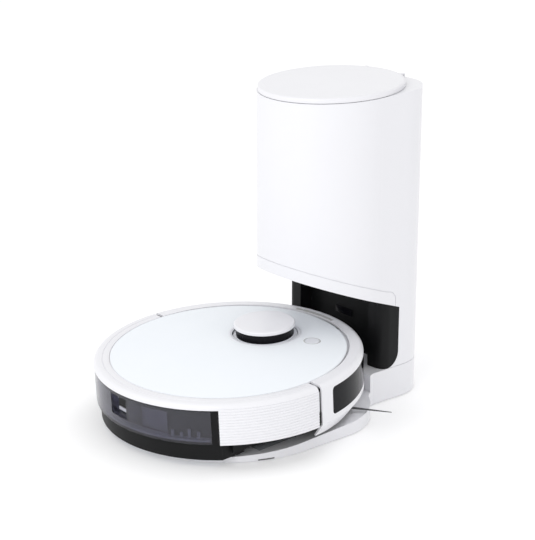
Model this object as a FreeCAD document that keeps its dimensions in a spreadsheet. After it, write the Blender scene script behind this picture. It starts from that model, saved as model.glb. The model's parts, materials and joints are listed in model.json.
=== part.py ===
"""Robot vacuum and the auto-empty station it is parked on, as a parametric assembly, in millimetres.

Two frames are used. The station's pieces are drawn with the origin on the ground under the parked robot's
centre, +Y towards the tower. The robot's pieces are drawn with the origin on their own wheel plane, +Y towards
the nose, and stand pitched on the station's ramp. Each sub-part's Placement carries it into the row frame,
whose origin is on the ground under the middle of the whole object.
"""
import FreeCAD, Part
import math
import os
import re
import Sketcher
from FreeCAD import Placement, Rotation, Vector

SIZES = {
    # frames
    "frameShift": -49.24, "robotSetback": 3.5, "wheelPlane": 14.0, "dockPitch": 2.96, "tyreGap": 0.3,
    # robot envelope
    "robotRadius": 176.5, "shellWall": 3.0, "skirtBottom": 25.5, "sideTop": 73.0, "rimHeight": 79.4,
    "rimRound": 6.4, "lipInner": 155.6, "lipThick": 2.8, "grooveRadius": 164.5, "grooveHalf": 0.7,
    "shellEnd": 5.2, "bumperStart": 8.0, "lipOffset": 4.2, "skirtLow": 6.5, "skirtIn": 161.0,
    "windowStart": 27.6, "windowLow": 34.0, "windowHigh": 71.5, "windowInset": 1.2, "windowRound": 5.0,
    # top cover and deck
    "coverRadius": 154.5, "coverEdge": 79.2, "coverCrown": 85.2, "coverThick": 2.4,
    "turretAhead": 62.0, "turretHole": 44.0, "buttonSide": 63.0, "buttonAhead": 90.5, "buttonRadius": 9.4,
    "buttonTop": 82.4, "buttonTall": 3.2, "buttonGap": 0.4, "deckRadius": 166.0, "deckLow": 72.0,
    "deckThick": 3.0, "deckBore": 44.5, "postRadius": 4.0, "postSide": 138.0, "postAhead": 58.0,
    "hingeAhead": 148.0, "hingeHeight": 75.4, "hingePin": 0.9, "blockTop": 76.4, "runGap": 0.05, "hingeReach": 50.0,
    "hingeNotch": 46.2, "lugSide": 38.0, "lugWide": 8.0, "lugDeep": 7.0,
    # lidar turret
    "turretBody": 36.0, "turretLow": 48.0, "flangeRadius": 43.0, "flangeLow": 79.0, "flangeTop": 82.0,
    "bandRadius": 38.8, "bandWall": 2.2, "bandLow": 83.2, "bandTop": 95.2, "capRadius": 40.8,
    "capTop": 100.0, "capRound": 2.2, "rotorRadius": 34.0, "rotorLow": 86.0, "rotorTop": 92.5,
    # chassis
    "panFloor": 9.0, "panRadius": 147.0, "panOuter": 168.0, "panShoulder": 26.0, "panTop": 32.0,
    "panWall": 3.0, "tankHalf": 130.5, "tankBack": -72.5, "slideGap": 0.7, "bulkheadTop": 70.0,
    "bulkheadThick": 2.2, "cheekLong": 28.0,
    # brushes
    "brushAhead": 12.0, "brushAxis": 20.5, "brushRadius": 19.5, "brushCore": 11.0, "brushHalf": 77.0,
    "brushFins": 6.0, "mouthHalf": 80.0, "mouthDeep": 46.0, "brushPin": 3.0, "housingInner": 22.0,
    "housingOuter": 24.0, "guardHalf": 88.0, "guardDeep": 62.0, "guardLow": 6.5,
    "sideBrushX": 118.0, "sideBrushY": 88.0, "hubRadius": 10.0, "hubLow": 2.6, "hubTop": 8.2,
    "armLow": 3.0, "armThick": 2.2, "armReach": 68.0, "armRoot": 7.0, "armTip": 2.4, "brushShaft": 3.0,
    "shaftTop": 24.6, "gearboxRadius": 13.0, "gearboxLow": 25.0, "gearboxTall": 25.0,
    # wheels
    "wheelSide": 114.5, "wheelWide": 20.0, "wheelRadius": 31.0, "tyreThick": 5.0, "axleRadius": 4.0,
    "armInner": 86.0, "armWide": 15.0, "armHigh": 28.0, "armLong": 60.0, "armBottom": 17.0,
    "pivotAhead": 38.0, "pivotHeight": 37.0, "pivotPin": 3.0, "wellHalf": 23.5, "wellLong": 94.0,
    "wellInner": 83.0, "treadDeep": 1.2, "treadWide": 4.0, "treadCount": 24.0,
    # caster
    "casterAhead": 130.0, "casterTrail": 5.0, "casterRadius": 11.0, "casterWide": 12.0, "forkRadius": 17.5,
    "casterWell": 20.0, "socketRadius": 23.0, "socketTop": 31.0, "stemRadius": 4.0, "forkLow": 12.0,
    "forkTop": 27.0, "stemTop": 36.0, "casterAxle": 1.5, "earThick": 2.4, "earWide": 8.0,
    # robot internals
    "binHalf": 80.5, "binFront": -16.0, "binBack": -68.5, "binLow": 27.0, "binHigh": 71.0, "binWall": 2.0,
    "inletHalf": 60.0, "inletLow": 30.5, "inletTall": 14.0, "filterHalf": 34.0, "filterThick": 12.0,
    "batteryHalf": 58.0, "batteryBack": 44.0, "batteryLong": 46.0, "batteryLow": 12.3, "batteryTall": 20.0,
    "fanX": -62.0, "fanY": 100.0, "fanRadius": 25.0, "fanLow": 34.0, "fanTall": 32.0, "boardLong": 84.0,
    "boardDeep": 34.0, "boardY": 118.0, "boardLow": 52.0, "boardThick": 1.6,
    "sensorRadius": 4.0, "sensorTall": 1.2,
    "contactSide": 34.0, "contactY": 128.0, "contactLong": 26.0, "contactWide": 8.0,
    # tank and mop
    "tankLow": 26.5, "tankHigh": 71.0, "tankWall": 2.2, "tankRadius": 175.9, "latchHalf": 16.5,
    "latchLow": 40.0, "latchHigh": 67.0, "latchDeep": 13.0, "latchThick": 6.0, "latchTall": 13.0,
    "plugRadius": 9.0, "plateRadius": 171.0, "plateHalf": 128.0, "plateBack": -80.0, "plateLow": 3.2,
    "plateHigh": 25.5, "plateWall": 2.5, "padRadius": 165.0, "padHalf": 116.0, "padBack": -88.0,
    "padLow": 0.5, "padHigh": 3.2,
    # foot of the station
    "footRadius": 153.5, "footStraight": 82.0, "waistHalf": 109.0, "waistY": 150.0, "neckY": 168.0,
    "footLow": 1.2, "seamHeight": 46.0, "baySwing": 181.0, "rampEnd": 156.5, "pocketHalf": 66.0,
    "pocketBack": 266.0, "pocketFront": 190.0, "pocketRoof": 42.0, "coverPlate": 2.0, "padRound": 8.0,
    "footPad": 1.5, "matHalf": 19.0, "matLong": 110.0, "matY": -5.0, "matThick": 1.2, "portHalf": 38.0,
    "portDeep": 26.0, "portFloor": 5.5, "sealWide": 3.0, "sealTall": 2.4,
    # tower of the station
    "towerHalf": 98.5, "towerRound": 174.0, "towerCorner": 53.0, "towerBack": 275.0,
    "towerTop": 413.4, "topPlate": 4.0, "chamberMouth": 91.0, "topSlope": 3.1, "towerWall": 3.0,
    "panFront": 60.0, "panFrontZ": 185.4, "trimSetback": 16.0, "seamFrontZ": 201.4, "seamFall": 0.35,
    "seamEnd": 205.0, "seamRound": 14.0, "seamWide": 0.8, "seamDeep": 0.9,
    "recessBack": 213.0, "panBackZ": 130.3, "recessRound": 22.0, "linerFront": 183.0, "linerRound": 14.0,
    "linerBayHalf": 70.0, "linerBayBack": 203.0, "linerGap": 0.4, "chamberRadius": 92.0,
    "chamberLow": 214.0, "chamberTop": 405.0, "chamberWall": 2.0, "chamberLip": 95.2, "flangeThick": 3.0,
    "bagRadius": 74.0, "bagSetback": 10.0, "bagRound": 30.0, "bagLow": 222.0, "bagHigh": 372.0,
    "cardWide": 110.0, "cardTall": 96.0, "cardThick": 3.0,
    "cardY": 239.0, "cardDrop": 110.0, "cardHole": 18.0, "portDrop": 60.0,
    "motorRadius": 23.0, "motorX": 34.0, "motorY": 244.0, "motorLow": 56.0,
    "motorTall": 70.0, "ductHalf": 13.0, "ductX": -52.0, "ductY": 238.0, "ductWall": 2.0, "ductTop": 214.0,
    "panelHalf": 44.0, "panelLow": 62.0, "panelHigh": 190.0, "panelThick": 1.8,
    "supplyLong": 70.0, "supplyDeep": 44.0, "inletWide": 22.0, "inletHigh": 14.0,
    "inletDepth": 16.0, "inletZ": 14.0,
    # station lid
    "lidRadius": 97.2, "lidThick": 6.6, "lidRise": 0.6, "lidRound": 2.4, "lidHingeY": 269.0,
    "lidHingeZ": 427.4, "lidPin": 1.2, "lidNotch": 33.0, "lidLugHalf": 32.6, "lidPinReach": 36.6,
    "lidEarWide": 4.0, "lidEarRadius": 2.7, "lidNotchLong": 15.5,
    # fasteners
    "screwRadius": 3.2, "screwHead": 1.6, "seatGap": 0.1,
}

doc = FreeCAD.newDocument("RobotVacuumAndStation")
sheet = doc.addObject("Spreadsheet::Sheet", "Sizes")
for row, (alias, number) in enumerate(SIZES.items(), start=1):
    sheet.set(f"A{row}", alias)
    sheet.set(f"B{row}", str(number))
    sheet.setAlias(f"B{row}", alias)
doc.recompute()

ALIAS = re.compile(r"[A-Za-z]\w*")


def formula(text):
    """The words of a formula that name a size become references to the sheet's cells."""
    return ALIAS.sub(lambda word: f"Sizes.{word.group()}" if word.group() in SIZES else word.group(), str(text))


def value(text):
    return float(sheet.evalExpression(formula(text)))


def bind(item, **links):
    for prop, text in links.items():
        item.setExpression(prop.replace("__", "."), formula(text))


def put(item, x, y, z):
    bind(item, Placement__Base__x=x, Placement__Base__y=y, Placement__Base__z=z)
    return item


def box(name, wide, deep, tall, x=0, y=0, z=0):
    """A block centred on x and y, standing on z."""
    item = doc.addObject("Part::Box", name)
    bind(item, Length=wide, Width=deep, Height=tall)
    return put(item, f"{x} - ({wide}) / 2", f"{y} - ({deep}) / 2", z)


def span(name, low_x, high_x, low_y, high_y, low_z, high_z):
    """A block between two limits on each axis."""
    item = doc.addObject("Part::Box", name)
    bind(item, Length=f"{high_x} - ({low_x})", Width=f"{high_y} - ({low_y})", Height=f"{high_z} - ({low_z})")
    return put(item, low_x, low_y, low_z)


def rod(name, radius, tall, x=0, y=0, z=0, along="Z"):
    """A cylinder that starts at a point and runs along an axis."""
    item = doc.addObject("Part::Cylinder", name)
    bind(item, Radius=radius, Height=tall)
    turn = {"Z": Rotation(), "X": Rotation(Vector(0, 1, 0), 90), "Y": Rotation(Vector(1, 0, 0), -90)}[along]
    item.Placement = Placement(Vector(), turn)
    return put(item, x, y, z)


def combine(kind, name, first, others):
    """Cut the others from the first, or keep what they share with it."""
    tool = others[0]
    if len(others) > 1:
        tool = doc.addObject("Part::MultiFuse", f"{name}Tool")
        tool.Shapes = others
    item = doc.addObject(kind, name)
    item.Base = first
    item.Tool = tool
    return item


def cut(name, first, *others):
    return combine("Part::Cut", name, first, list(others))


def common(name, first, *others):
    return combine("Part::Common", name, first, list(others))


def fuse(name, *items):
    item = doc.addObject("Part::MultiFuse", name)
    item.Shapes = list(items)
    return item


def group(name, *items):
    item = doc.addObject("Part::Compound", name)
    item.Links = list(items)
    return item


def ring(name, outer, inner, tall, x=0, y=0, z=0, along="Z"):
    return cut(name, rod(f"{name}Outer", outer, tall, x, y, z, along),
               rod(f"{name}Bore", inner, tall, x, y, z, along))


def rounded(name, base, radius, chosen):
    """Fillets the edges whose middle point passes the test."""
    doc.recompute()
    item = doc.addObject("Part::Fillet", name)
    item.Base = base
    size = value(radius)
    edges = []
    for number, edge in enumerate(base.Shape.Edges, start=1):
        middle = edge.valueAt((edge.FirstParameter + edge.LastParameter) / 2)
        if chosen(edge, middle):
            edges.append((number, size, size))
    item.Edges = edges
    return item


def draw(body, name, plane, points, height=0):
    """A closed outline on one of the body's planes, every corner bound to the sheet.

    A point is (across, up), or (across, up, radius) when an arc of that radius leads to it:
    positive turns left along the outline, negative turns right.
    """
    sketch = body.newObject("Sketcher::SketchObject", name)
    face = [item for item in body.Origin.OriginFeatures if item.Role == f"{plane}_Plane"][0]
    sketch.AttachmentSupport = [(face, "")]
    sketch.MapMode = "FlatFace"
    if height:
        bind(sketch, AttachmentOffset__Base__z=height)
    spots = [Vector(value(point[0]), value(point[1]), 0) for point in points]
    for number, point in enumerate(points):
        start, end = spots[number - 1], spots[number]
        if len(point) == 2:
            sketch.addGeometry(Part.LineSegment(start, end))
            continue
        radius = value(point[2])
        half = (end - start) * 0.5
        rise = math.sqrt(max(radius * radius - half.Length ** 2, 0))
        side = Vector(-half.y, half.x, 0).normalize() * math.copysign(rise, radius)
        centre = start + half + side
        circle = Part.Circle(centre, Vector(0, 0, 1), abs(radius))
        sketch.addGeometry(Part.ArcOfCircle(circle, *arc_angles(centre, start, end, radius > 0)))
    last = len(points)
    for number, point in enumerate(points):
        following = (number + 1) % last
        backward = len(point) == 3 and value(point[2]) < 0
        next_back = len(points[following]) == 3 and value(points[following][2]) < 0
        sketch.addConstraint(Sketcher.Constraint("Coincident", number, 1 if backward else 2,
                                                 following, 2 if next_back else 1))
        for kind, text in (("DistanceX", point[0]), ("DistanceY", point[1])):
            index = sketch.addConstraint(
                Sketcher.Constraint(kind, -1, 1, number, 1 if backward else 2, value(text)))
            sketch.setExpression(f"Constraints[{index}]", formula(text))
        if len(point) == 3:
            index = sketch.addConstraint(Sketcher.Constraint("Radius", number, abs(value(point[2]))))
            sketch.setExpression(f"Constraints[{index}]", formula(f"abs({point[2]})"))
    return sketch


def arc_angles(centre, start, end, leftward):
    """Start and end angles of an arc, which a sketch stores anticlockwise."""
    first = start - centre
    second = end - centre
    one = math.atan2(first.y, first.x)
    two = math.atan2(second.y, second.x)
    if not leftward:
        one, two = two, one
    if two <= one:
        two += 2 * math.pi
    return one, two


def turned(name, points):
    """A body revolved about its Z axis from an outline of (radius, height) points."""
    body = doc.addObject("PartDesign::Body", name)
    sketch = draw(body, f"{name}Profile", "XZ", points)
    spin = body.newObject("PartDesign::Revolution", f"{name}Turn")
    spin.Profile = sketch
    spin.ReferenceAxis = (sketch, ["V_Axis"])
    spin.Angle = 360
    return body


def raised(name, points, low, high):
    """A body padded upwards from a plan outline."""
    body = doc.addObject("PartDesign::Body", name)
    sketch = draw(body, f"{name}Outline", "XY", points, low)
    pad = body.newObject("PartDesign::Pad", f"{name}Pad")
    pad.Profile = sketch
    bind(pad, Length=f"{high} - ({low})")
    return body


def across(name, points, wide):
    """A body padded both ways along X from a side outline of (y, z) points."""
    body = doc.addObject("PartDesign::Body", name)
    sketch = draw(body, f"{name}Side", "YZ", points)
    pad = body.newObject("PartDesign::Pad", f"{name}Pad")
    pad.Profile = sketch
    pad.SideType = "Symmetric"
    bind(pad, Length=wide)
    return body


nodes = []


def station(item, label):
    """A finished piece of the station."""
    item.Label = label
    bind(item, Placement__Base__y="frameShift")
    nodes.append(item)
    return item


def robot(item, label):
    """A finished piece of the robot, pitched onto the ramp."""
    item.Label = label
    item.Placement = Placement(Vector(), Rotation(Vector(1, 0, 0), SIZES["dockPitch"]))
    bind(item, Placement__Base__y="frameShift + robotSetback", Placement__Base__z="wheelPlane",
         Placement__Rotation__Angle="dockPitch")
    nodes.append(item)
    return item


# ---------------------------------------------------------------- robot: body shell

def shell_profile(name, inner, bottom, groove):
    """The white wall of the robot: upright side, rounded rim and a lip that runs in over the deck."""
    points = [
        ("robotRadius - shellWall", bottom),
        ("robotRadius", bottom),
        ("robotRadius", "sideTop"),
        ("robotRadius - rimRound", "sideTop + rimRound", "rimRound"),
    ]
    if groove:
        points += [
            ("grooveRadius + grooveHalf", "rimHeight"),
            ("grooveRadius", "rimHeight - grooveHalf"),
            ("grooveRadius - grooveHalf", "rimHeight"),
        ]
    points += [
        (inner, "rimHeight"),
        (inner, "rimHeight - lipThick"),
        ("robotRadius - rimRound", "rimHeight - lipThick"),
        ("robotRadius - shellWall", "sideTop", "-(rimRound - shellWall + 0.06)"),
    ]
    return turned(name, points)


robot(cut("rearShell",
          shell_profile("rearRing", "lipInner", "skirtBottom", True),
          span("rearHalf", "-200", "200", "shellEnd", "200", "0", "120"),
          span("tankMouth", "-tankHalf - slideGap", "tankHalf + slideGap", "-200", "0", "0",
               "tankHigh + slideGap")),
      "rear_body_shell")

bumper_skirt = turned("bumperSkirt", [
    ("skirtIn - shellWall / 2", "skirtLow + 2"),
    ("skirtIn", "skirtLow"),
    ("robotRadius", "skirtBottom + 1.5"),
    ("robotRadius", "skirtBottom + 5"),
    ("robotRadius - shellWall", "skirtBottom + 5"),
    ("robotRadius - shellWall", "skirtBottom + 2.5"),
])
window_block = rounded("windowBlock",
                       span("windowSpan", "-200", "200", "windowStart", "200", "windowLow", "windowHigh"),
                       "windowRound", lambda edge, at: abs(at.y - SIZES["windowStart"]) < 1 and abs(at.x) < 1)
window_ring = ring("windowRing", "robotRadius + 1", "robotRadius - windowInset", "120")
robot(cut("bumperShell",
          fuse("bumperWall", shell_profile("bumperRing", "lipInner - 6", "skirtBottom + 4", False), bumper_skirt),
          span("bumperHalf", "-200", "200", "-200", "bumperStart", "0", "120"),
          rod("coverSwing", "lipInner", "20", 0, "lipOffset", "70"),
          common("windowSeat", window_ring, window_block)),
      "bumper")
robot(common("windowPane",
             ring("paneRing", "robotRadius - 0.05", "robotRadius - windowInset", "120"), window_block),
      "bumper_window")

# ---------------------------------------------------------------- robot: chassis

pan = turned("panDish", [
    ("0", "panFloor"),
    ("panRadius", "panFloor"),
    ("panOuter - 2", "panShoulder - 2"),
    ("panOuter", "panShoulder"),
    ("panOuter", "panTop"),
    ("panOuter - panWall", "panTop"),
    ("panOuter - panWall", "panShoulder + 1"),
    ("panRadius - 1.5", "panFloor + panWall"),
    ("0", "panFloor + panWall"),
])
bulkhead = span("bulkhead", "-tankHalf", "tankHalf", "tankBack + slideGap", "tankBack + slideGap + bulkheadThick",
                "panFloor", "bulkheadTop")
cheeks = [span(f"cheek{side}", *sorted_pair, "tankBack - cheekLong", "tankBack + 4", "panFloor + 1", "bulkheadTop")
          for side, sorted_pair in (("Left", ("-tankHalf - slideGap - bulkheadThick", "-tankHalf - slideGap")),
                                    ("Right", ("tankHalf + slideGap", "tankHalf + slideGap + bulkheadThick")))]
posts = [rod(f"post{number}", "postRadius", "deckLow - panFloor - panWall", f"{x} * postSide", f"{y} * postAhead",
             "panFloor + panWall") for number, (x, y) in enumerate(((-1, -1), (1, -1), (-1, 1), (1, 1)))]
wells = [box(f"well{number}", "wellHalf * 2", "wellLong", "40", f"{side} * (wellInner + wellHalf)", "5", "0")
         for number, side in enumerate((-1, 1))]
brush_holes = [rod(f"brushHole{number}", "brushShaft + 0.5", "30", f"{side} * sideBrushX", "sideBrushY", "0")
               for number, side in enumerate((-1, 1))]
pivot_pins = [rod(f"pivotPin{number}", "pivotPin", "armWide + 2.4",
                  "armInner - 2.4" if side > 0 else "-armInner - armWide", "pivotAhead", "pivotHeight", "X")
              for number, side in enumerate((-1, 1))]
pin_stands = [span(f"pinStand{number}", low, high, "pivotAhead - 5", "pivotAhead + 5", "panFloor",
                   "pivotHeight + 4")
              for number, (low, high) in enumerate((("-armInner + 1", "-wellInner + 0.6"),
                                                    ("wellInner - 0.6", "armInner - 1")))]
robot(cut("chassisPan",
          fuse("panBody", cut("panTrimmed", pan, *wells,
                              span("tankRoom", "-tankHalf - slideGap", "tankHalf + slideGap", "-200",
                                   "tankBack + slideGap", "0", "80")),
               bulkhead, *cheeks, *posts, *pin_stands, *pivot_pins,
               rod("casterSocket", "socketRadius", "socketTop - panFloor", 0, "casterAhead", "panFloor")),
          *brush_holes,
          box("mouth", "mouthHalf * 2", "mouthDeep", "40", 0, "brushAhead", "0"),
          box("batteryBay", "batteryHalf * 2 + 2", "batteryLong + 2", "20", 0, "batteryBack + batteryLong / 2",
              "0"),
          rod("casterHole", "casterWell", "forkTop + 0.4", 0, "casterAhead", "0"),
          rod("casterBoreHole", "stemRadius + runGap", "60", 0, "casterAhead", "0")),
      "chassis")

deck_holes = [
    rod("deckBoreHole", "deckBore", "20", 0, "turretAhead", "deckLow - 5"),
    span("binMouth", "-binHalf - 1", "binHalf + 1", "binBack - 1", "binFront + 1", "deckLow - 5", "deckLow + 9"),
    span("hingeRoom", "-hingeNotch", "hingeNotch", "hingeAhead - 7", "200", "deckLow - 5", "deckLow + 9"),
]
hinge_blocks = [box(f"hingeBlock{number}", "3.6", "8", "blockTop - deckLow", f"{side} * (hingeNotch + 1.9)",
                    "hingeAhead - 1", "deckLow") for number, side in enumerate((-1, 1))]
robot(cut("deckPlate",
          fuse("deckBody",
               cut("deckDisc", rod("deckBlank", "deckRadius", "deckThick", 0, 0, "deckLow"), *deck_holes),
               *hinge_blocks),
          rod("deckPinBore", "hingePin", "120", "-60", "hingeAhead", "hingeHeight", "X")),
      "deck")
robot(group("hingePinGroup", rod("hingePinRod", "hingePin", "hingeReach * 2", "-hingeReach", "hingeAhead",
                                 "hingeHeight", "X")), "cover_hinge_pin")

# ---------------------------------------------------------------- robot: top cover and button

cover_bend = "(coverRadius ^ 2 + (coverCrown - coverEdge) ^ 2) / (2 * (coverCrown - coverEdge))"
cover_disc = turned("coverDisc", [
    ("0", "coverCrown - coverThick"),
    ("coverRadius", "coverEdge - coverThick", f"-({cover_bend})"),
    ("coverRadius", "coverEdge"),
    ("0", "coverCrown", cover_bend),
])
lugs = [box(f"lug{number}", "lugWide", "lugDeep", "6.5", f"{side} * lugSide", "hingeAhead - 1.5",
            "hingeHeight - 3") for number, side in enumerate((-1, 1))]
robot(cut("coverShell", fuse("coverBody", cover_disc, *lugs),
          rod("coverTurretHole", "turretHole", "40", 0, "turretAhead", "coverEdge - 10"),
          rod("coverButtonHole", "buttonRadius + buttonGap", "40", "buttonSide", "buttonAhead", "coverEdge - 10"),
          rod("coverPinBore", "hingePin + runGap", "120", "-60", "hingeAhead", "hingeHeight", "X")),
      "top_cover")
robot(rounded("buttonCap", rod("buttonBlank", "buttonRadius", "buttonTall", "buttonSide", "buttonAhead",
                               "buttonTop - buttonTall"), "0.6",
              lambda edge, at: abs(at.z - SIZES["buttonTop"]) < 0.01 and edge.Length > 10), "power_button")

# ---------------------------------------------------------------- robot: lidar turret

robot(fuse("turretStand",
           rod("turretDrum", "turretBody", "flangeLow - turretLow", 0, "turretAhead", "turretLow"),
           rod("turretFlange", "flangeRadius", "flangeTop - flangeLow", 0, "turretAhead", "flangeLow"),
           rod("turretSeat", "bandRadius", "bandLow - flangeTop", 0, "turretAhead", "flangeTop")), "lidar_base")
robot(ring("turretBand", "bandRadius", "bandRadius - bandWall", "bandTop - bandLow", 0, "turretAhead", "bandLow"),
      "lidar_window_band")
robot(rounded("turretCap", rod("capBlank", "capRadius", "capTop - bandTop", 0, "turretAhead", "bandTop"),
              "capRound",
              lambda edge, at: abs(at.z - SIZES["capTop"]) < 0.01 and edge.Length > 10), "lidar_cap")
robot(cut("rotorDrum", rod("rotorBlank", "rotorRadius", "rotorTop - rotorLow", 0, "turretAhead", "rotorLow"),
          box("rotorSlot", "16", "14", "3.4", 0, "turretAhead - rotorRadius", "rotorLow + 1.6")), "lidar_rotor")

# ---------------------------------------------------------------- robot: wheels, caster and brushes

for side, word in ((-1, "left"), (1, "right")):
    tag = word.capitalize()
    arm_low = "armInner" if side > 0 else "-armInner - armWide"
    arm = box(f"armBlock{tag}", "armWide", "armLong", "armHigh", f"{side} * (armInner + armWide / 2)", "14",
              "armBottom")
    axle_start = "armInner + armWide - 1" if side > 0 else "-(wheelSide + wheelWide / 2 - 1)"
    axle = rod(f"axle{tag}", "axleRadius", "wheelSide + wheelWide / 2 - armInner - armWide", axle_start, "0",
               "wheelRadius", "X")
    robot(cut(f"arm{tag}", fuse(f"armBody{tag}", arm, axle),
              rod(f"pivotBore{tag}", "pivotPin + runGap", "40", f"{side} * (armInner + armWide / 2) - 20",
                  "pivotAhead", "pivotHeight", "X")), f"{word}_wheel_arm")
    wheel_x = f"{side} * wheelSide - wheelWide / 2"
    robot(ring(f"hub{tag}", "wheelRadius - tyreThick", "axleRadius + runGap", "wheelWide", wheel_x, "0",
               "wheelRadius", "X"), f"{word}_wheel_hub")
    treads = []
    count = int(SIZES["treadCount"])
    for number in range(count):
        tread = doc.addObject("Part::Box", f"tread{tag}{number}")
        bind(tread, Length="wheelWide + 2", Width="treadWide", Height="treadDeep * 2")
        turn = Rotation(Vector(1, 0, 0), 360.0 * number / count)
        spot = Vector(side * SIZES["wheelSide"] - SIZES["wheelWide"] / 2 - 1, 0, SIZES["wheelRadius"])
        lift = turn.multVec(Vector(0, -SIZES["treadWide"] / 2, SIZES["wheelRadius"] - SIZES["treadDeep"]))
        tread.Placement = Placement(spot + lift, turn)
        treads.append(tread)
    robot(cut(f"tyre{tag}", ring(f"tyreBand{tag}", "wheelRadius", "wheelRadius - tyreThick", "wheelWide", wheel_x,
                                 "0", "wheelRadius", "X"), *treads), f"{word}_tyre")

caster_y = "casterAhead - casterTrail"
robot(fuse("casterFork",
           cut("casterHead", rod("casterDisc", "forkRadius", "forkTop - forkLow", 0, "casterAhead", "forkLow"),
               box("casterGap", "casterWide + 2", "forkRadius * 3", "30", 0, "casterAhead",
                   "casterRadius * 2 + 1.5 - 30")),
           rod("casterStem", "stemRadius", "stemTop - forkTop + 1", 0, "casterAhead", "forkTop - 1"),
           rod("casterPin", "casterAxle", "casterWide + 6", "-(casterWide + 6) / 2", caster_y, "casterRadius", "X"),
           *[box(f"casterEar{number}", "earThick", "earWide", "forkLow",
                 f"{side} * (casterWide + earThick * 2) / 2", caster_y, "casterRadius - 5")
             for number, side in enumerate((-1, 1))]), "caster_fork")
robot(cut("casterRoller",
          rounded("casterRound", rod("casterBlank", "casterRadius", "casterWide", "-casterWide / 2", caster_y,
                                     "casterRadius", "X"), "3", lambda edge, at: edge.Length > 60),
          rod("casterBore", "casterAxle + runGap", "casterWide + 4", "-casterWide / 2 - 2", caster_y, "casterRadius",
              "X")), "caster_wheel")

fins = []
for number in range(int(SIZES["brushFins"])):
    fin = doc.addObject("Part::Box", f"fin{number}")
    bind(fin, Length="brushHalf * 2 - 6", Width="2.2", Height="brushRadius - brushCore + 1")
    turn = Rotation(Vector(1, 0, 0), 360.0 * number / SIZES["brushFins"])
    spot = Vector(3 - SIZES["brushHalf"], SIZES["brushAhead"], SIZES["brushAxis"])
    fin.Placement = Placement(spot + turn.multVec(Vector(0, -1.1, SIZES["brushCore"] - 1)), turn)
    fins.append(fin)
robot(fuse("mainBrush", rod("brushCoreRod", "brushCore", "brushHalf * 2 - 6", "3 - brushHalf", "brushAhead",
                            "brushAxis", "X"),
           rod("brushPinRod", "brushPin", "brushHalf * 2", "-brushHalf", "brushAhead", "brushAxis", "X"), *fins),
      "main_brush")
robot(group("brushBearings", *[ring(f"bearing{number}", "7", "brushPin + runGap", "2.4", x, "brushAhead",
                                    "brushAxis", "X") for number, x in enumerate(("-brushHalf", "brushHalf - 2.4"))]),
      "brush_bearings")
arch = ring("archRing", "housingOuter", "housingInner", "mouthHalf * 2 - 1", "-mouthHalf + 0.5", "brushAhead",
            "brushAxis", "X")
ends = [rod(f"archEnd{number}", "housingOuter", "2.2", x, "brushAhead", "brushAxis", "X")
        for number, x in enumerate(("-mouthHalf + 0.5", "mouthHalf - 2.7"))]
robot(cut("brushArch", fuse("archBody", arch, *ends),
          span("archFloor", "-100", "100", "-60", "80", "-20", "panFloor + panWall")), "brush_housing")
robot(cut("guardRim",
          box("guardPlate", "guardHalf * 2", "guardDeep", "panFloor - guardLow", 0, "brushAhead", "guardLow"),
          box("guardMouth", "mouthHalf * 2 - 2", "mouthDeep - 2", "20", 0, "brushAhead", "0")), "brush_guard")

for side, word in ((-1, "left"), (1, "right")):
    tag = word.capitalize()
    hub_x = f"{side} * sideBrushX"
    arms = []
    for number in range(3):
        body = raised(f"brushArm{tag}{number}", [
            ("2", "-armRoot / 2"),
            ("armReach", "-armTip / 2"),
            ("armReach", "armTip / 2"),
            ("2", "armRoot / 2"),
        ], "0", "armThick")
        heading = 42 + 120 * number
        body.Placement = Placement(Vector(), Rotation(Vector(0, 0, 1), heading if side > 0 else 180 - heading))
        arms.append(put(body, hub_x, "sideBrushY", "armLow"))
    robot(fuse(f"sideBrush{tag}",
               rod(f"hubDisc{tag}", "hubRadius", "hubTop - hubLow", hub_x, "sideBrushY", "hubLow"),
               rod(f"hubShaft{tag}", "brushShaft", "shaftTop - hubTop + 1", hub_x, "sideBrushY", "hubTop - 1"),
               *arms), f"{word}_side_brush")
    robot(group(f"gearbox{tag}", rod(f"gearboxCan{tag}", "gearboxRadius", "gearboxTall", hub_x, "sideBrushY",
                                     "gearboxLow")), f"{word}_side_brush_motor")

# ---------------------------------------------------------------- robot: dust bin, fan, battery, electronics

robot(cut("binBox",
          span("binBlank", "-binHalf", "binHalf", "binBack", "binFront", "binLow", "binHigh"),
          span("binRoom", "-binHalf + binWall", "binHalf - binWall", "binBack + binWall", "binFront - binWall",
               "binLow + binWall", "binHigh - binWall"),
          span("binInlet", "-inletHalf", "inletHalf", "binFront - 5", "binFront + 5", "inletLow",
               "inletLow + inletTall")), "dust_bin")
robot(group("filterPack", span("filterBlock", "-filterHalf", "filterHalf", "binBack + binWall",
                               "binBack + binWall + filterThick", "binLow + binWall + 14",
                               "binHigh - binWall - 2")), "bin_filter")
robot(group("batteryPack", span("batteryBlock", "-batteryHalf", "batteryHalf", "batteryBack",
                                "batteryBack + batteryLong", "batteryLow", "batteryLow + batteryTall")), "battery")
robot(group("batteryLid", box("batteryPlate", "batteryHalf * 2 + 1.4", "batteryLong + 1.4", "2.6", 0,
                              "batteryBack + batteryLong / 2", "panFloor")), "battery_cover")
robot(cut("fanBody", rounded("fanRound", rod("fanBlank", "fanRadius", "fanTall", "fanX", "fanY", "fanLow"), "5",
                             lambda edge, at: edge.Length > 60),
          rod("fanEye", "9", "10", "fanX", "fanY", "fanLow + fanTall - 6")), "suction_fan")
robot(fuse("mainBoard", box("boardPlate", "boardLong", "boardDeep", "boardThick", "34", "boardY", "boardLow"),
           box("boardChip", "14", "14", "2.4", "24", "boardY", "boardLow + boardThick - 0.4"),
           box("boardPlug", "22", "6", "6", "50", "boardY + 10", "boardLow + boardThick - 0.4")), "main_board")
sensor_spots = [(side * x, y) for side in (-1, 1) for x, y in ((50, 134), (136, 40), (129, -60))]
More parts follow.
